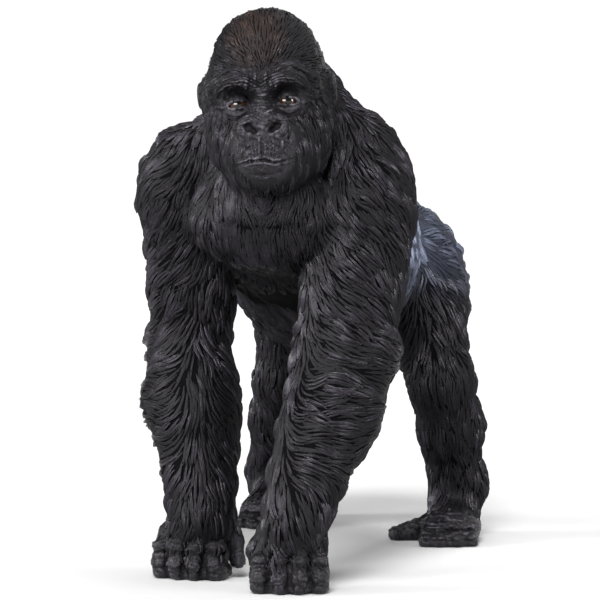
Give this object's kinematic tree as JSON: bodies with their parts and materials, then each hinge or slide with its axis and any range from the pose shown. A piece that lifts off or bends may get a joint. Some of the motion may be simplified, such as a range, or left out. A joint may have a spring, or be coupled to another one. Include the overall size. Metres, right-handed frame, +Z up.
{
  "type": "toy gorilla figure",
  "caption": "Moulded plastic toy figure of a silverback gorilla walking on its knuckles, head turned to its left, with sculpted fur and painted eyes.",
  "frame": {"origin": "on the floor, below the middle of the figure's outline in plan", "axes": "+Z up; the figure walks towards -Y, its left side is towards +X, and its length runs along Y"},
  "size_m": [0.0451, 0.0884, 0.0845],
  "materials": {
    "black_coat": "satin black moulded plastic with sculpted fur, and a warm brown tint on the crown",
    "silver_coat": "satin blue-grey sprayed saddle that fades to black, over faint fur grooves",
    "bare_skin": "satin black moulded plastic with fine skin folds",
    "eye_paint": "glossy orange-brown paint with a dark pupil"
  },
  "bodies": {
    "root": {"chest": "black_coat", "neck": "black_coat", "head": "black_coat", "belly": "silver_coat", "rump": "silver_coat", "shoulder_left": "black_coat", "upper_arm_left": "black_coat", "forearm_left": "black_coat", "thigh_left": "black_coat", "shank_left": "black_coat", "hand_left": "bare_skin", "foot_left": "bare_skin", "ear_left": "bare_skin", "eye_left": "eye_paint", "shoulder_right": "black_coat", "upper_arm_right": "black_coat", "forearm_right": "black_coat", "thigh_right": "black_coat", "shank_right": "black_coat", "hand_right": "bare_skin", "foot_right": "bare_skin", "ear_right": "bare_skin", "eye_right": "eye_paint"}
  },
  "joints": []
}
